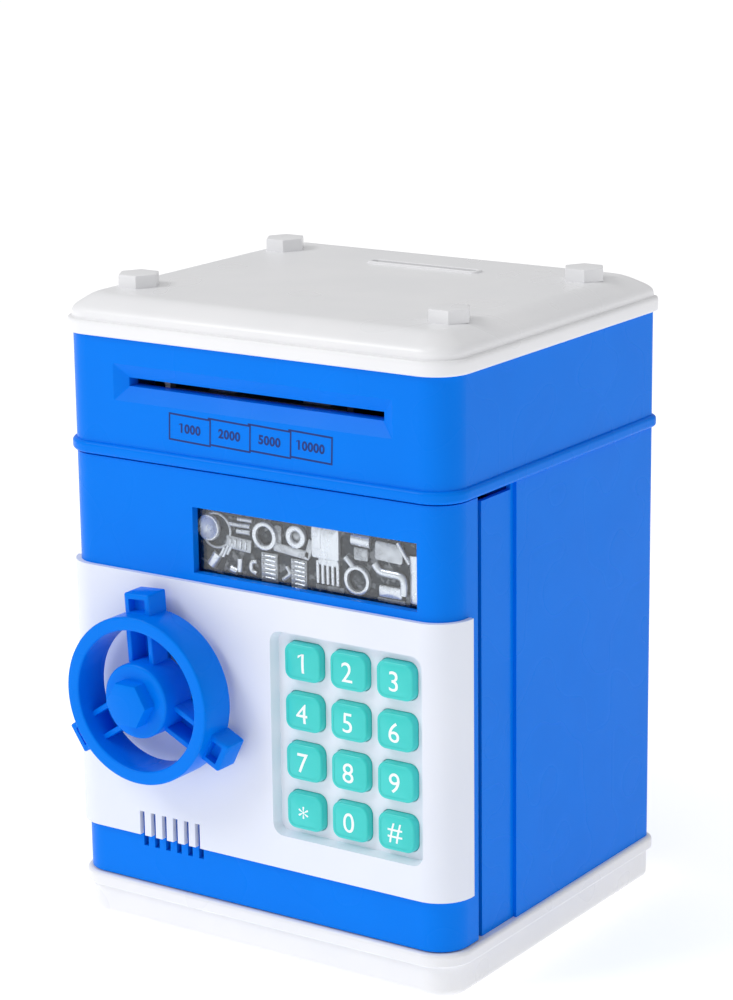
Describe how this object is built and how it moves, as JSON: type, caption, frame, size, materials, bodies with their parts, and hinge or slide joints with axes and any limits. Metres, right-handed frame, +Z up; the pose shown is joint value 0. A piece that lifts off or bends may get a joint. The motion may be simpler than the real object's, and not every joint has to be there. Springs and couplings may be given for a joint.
{
  "type": "toy atm savings bank",
  "caption": "Boxy toy safe with a hinged keypad door, a three-lugged lock handwheel, a powered note feeder slot, a coin slot in the lid and a viewing window.",
  "frame": {"origin": "middle of the base's underside", "axes": "+Z up, +X to the right of someone facing the keypad, the front looks along -Y"},
  "size_m": [0.1331, 0.136, 0.1898],
  "materials": {
    "white_plastic": "semi-gloss",
    "blue_plastic": "semi-gloss",
    "panel_plastic": "semi-gloss",
    "turquoise_plastic": "satin",
    "clear_plastic": "clear",
    "plated_plastic": "vacuum plated",
    "grey_rubber": "matt",
    "white_rubber": "matt",
    "steel": "plain",
    "board_green": "solder mask",
    "black_plastic": "matt",
    "grey_plastic": "matt",
    "acetal": "natural",
    "cell_jacket": "film"
  },
  "bodies": {
    "cabinet": {"base_tray": "white_plastic", "base_screws": "steel", "cabinet_shell": "blue_plastic", "strike_block": "grey_plastic", "upper_housing": "blue_plastic", "housing_screws": "steel", "lid": "white_plastic", "hex_bolts": "white_plastic", "feeder_frame": "grey_plastic", "idler_pin": "steel", "bill_guide": "grey_plastic", "bill_sensor": "black_plastic", "feed_motor": "steel"},
    "door": {"door_shell": "blue_plastic", "hinge_pins": "steel", "front_panel": "panel_plastic", "key_membrane": "white_rubber", "main_board": "board_green", "window_lens": "clear_plastic", "window_relief": "plated_plastic", "speaker": "black_plastic", "bolt_guides": "acetal", "solenoid": "steel", "inner_cover": "blue_plastic", "cover_screws": "steel", "battery_box": "black_plastic", "battery_cells": "cell_jacket", "battery_contacts": "steel", "battery_cover": "blue_plastic"},
    "knob": {"knob": "blue_plastic", "knob_shaft": "steel", "shaft_clip": "steel", "lock_pinion": "acetal"},
    "lock_bolt": {"lock_bolt": "acetal"},
    "plunger": {"solenoid_plunger": "steel"},
    "feed_roller": {"feed_shaft": "steel", "feed_rollers": "grey_rubber", "feed_gear": "acetal"},
    "pressure_roller": {"press_shaft": "steel", "press_rollers": "grey_rubber"},
    "idler_gear": {"idler_gear": "acetal"},
    "motor_rotor": {"motor_pinion": "acetal", "motor_shaft": "steel"},
    "key_1": {"key_1": "turquoise_plastic"},
    "key_2": {"key_2": "turquoise_plastic"},
    "key_3": {"key_3": "turquoise_plastic"},
    "key_4": {"key_4": "turquoise_plastic"},
    "key_5": {"key_5": "turquoise_plastic"},
    "key_6": {"key_6": "turquoise_plastic"},
    "key_7": {"key_7": "turquoise_plastic"},
    "key_8": {"key_8": "turquoise_plastic"},
    "key_9": {"key_9": "turquoise_plastic"},
    "key_star": {"key_star": "turquoise_plastic"},
    "key_0": {"key_0": "turquoise_plastic"},
    "key_hash": {"key_hash": "turquoise_plastic"}
  },
  "joints": [
    {"name": "door_hinge", "type": "hinge", "parent": "cabinet", "child": "door", "pos_m": [-0.056, -0.0477, 0.077], "axis": [0, 0, -1], "range_deg": [0, 110]},
    {"name": "knob_turn", "type": "hinge", "parent": "door", "child": "knob", "pos_m": [-0.0289, -0.0583, 0.0755], "axis": [0, 1, 0], "range_deg": [0, 90]},
    {"name": "bolt_slide", "type": "slide", "parent": "door", "child": "lock_bolt", "axis": [1, 0, 0], "range_m": [0, 0.00628]},
    {"name": "plunger_drop", "type": "slide", "parent": "door", "child": "plunger", "axis": [0, 0, -1], "range_m": [0, 0.003], "stiffness_N_per_m": 40},
    {"name": "feed_turn", "type": "hinge", "parent": "cabinet", "child": "feed_roller", "pos_m": [0, -0.0424, 0.1572], "axis": [1, 0, 0], "continuous": true},
    {"name": "pressure_turn", "type": "hinge", "parent": "cabinet", "child": "pressure_roller", "pos_m": [0, -0.0424, 0.1666], "axis": [1, 0, 0], "continuous": true},
    {"name": "idler_turn", "type": "hinge", "parent": "cabinet", "child": "idler_gear", "pos_m": [-0.035, -0.03225, 0.16089], "axis": [1, 0, 0], "continuous": true},
    {"name": "motor_turn", "type": "hinge", "parent": "cabinet", "child": "motor_rotor", "pos_m": [-0.036, -0.01965, 0.16089], "axis": [1, 0, 0], "continuous": true},
    {"name": "key_1_press", "type": "slide", "parent": "door", "child": "key_1", "axis": [0, 1, 0], "range_m": [0, 0.0015], "stiffness_N_per_m": 120},
    {"name": "key_2_press", "type": "slide", "parent": "door", "child": "key_2", "axis": [0, 1, 0], "range_m": [0, 0.0015], "stiffness_N_per_m": 120},
    {"name": "key_3_press", "type": "slide", "parent": "door", "child": "key_3", "axis": [0, 1, 0], "range_m": [0, 0.0015], "stiffness_N_per_m": 120},
    {"name": "key_4_press", "type": "slide", "parent": "door", "child": "key_4", "axis": [0, 1, 0], "range_m": [0, 0.0015], "stiffness_N_per_m": 120},
    {"name": "key_5_press", "type": "slide", "parent": "door", "child": "key_5", "axis": [0, 1, 0], "range_m": [0, 0.0015], "stiffness_N_per_m": 120},
    {"name": "key_6_press", "type": "slide", "parent": "door", "child": "key_6", "axis": [0, 1, 0], "range_m": [0, 0.0015], "stiffness_N_per_m": 120},
    {"name": "key_7_press", "type": "slide", "parent": "door", "child": "key_7", "axis": [0, 1, 0], "range_m": [0, 0.0015], "stiffness_N_per_m": 120},
    {"name": "key_8_press", "type": "slide", "parent": "door", "child": "key_8", "axis": [0, 1, 0], "range_m": [0, 0.0015], "stiffness_N_per_m": 120},
    {"name": "key_9_press", "type": "slide", "parent": "door", "child": "key_9", "axis": [0, 1, 0], "range_m": [0, 0.0015], "stiffness_N_per_m": 120},
    {"name": "key_star_press", "type": "slide", "parent": "door", "child": "key_star", "axis": [0, 1, 0], "range_m": [0, 0.0015], "stiffness_N_per_m": 120},
    {"name": "key_0_press", "type": "slide", "parent": "door", "child": "key_0", "axis": [0, 1, 0], "range_m": [0, 0.0015], "stiffness_N_per_m": 120},
    {"name": "key_hash_press", "type": "slide", "parent": "door", "child": "key_hash", "axis": [0, 1, 0], "range_m": [0, 0.0015], "stiffness_N_per_m": 120}
  ],
  "couplings": [
    {"joint": "bolt_slide", "follows": "knob_turn", "m_per_rad": 0.004},
    {"joint": "pressure_turn", "follows": "feed_turn", "ratio": -1.25},
    {"joint": "idler_turn", "follows": "feed_turn", "ratio": -2},
    {"joint": "motor_turn", "follows": "feed_turn", "ratio": 5}
  ]
}
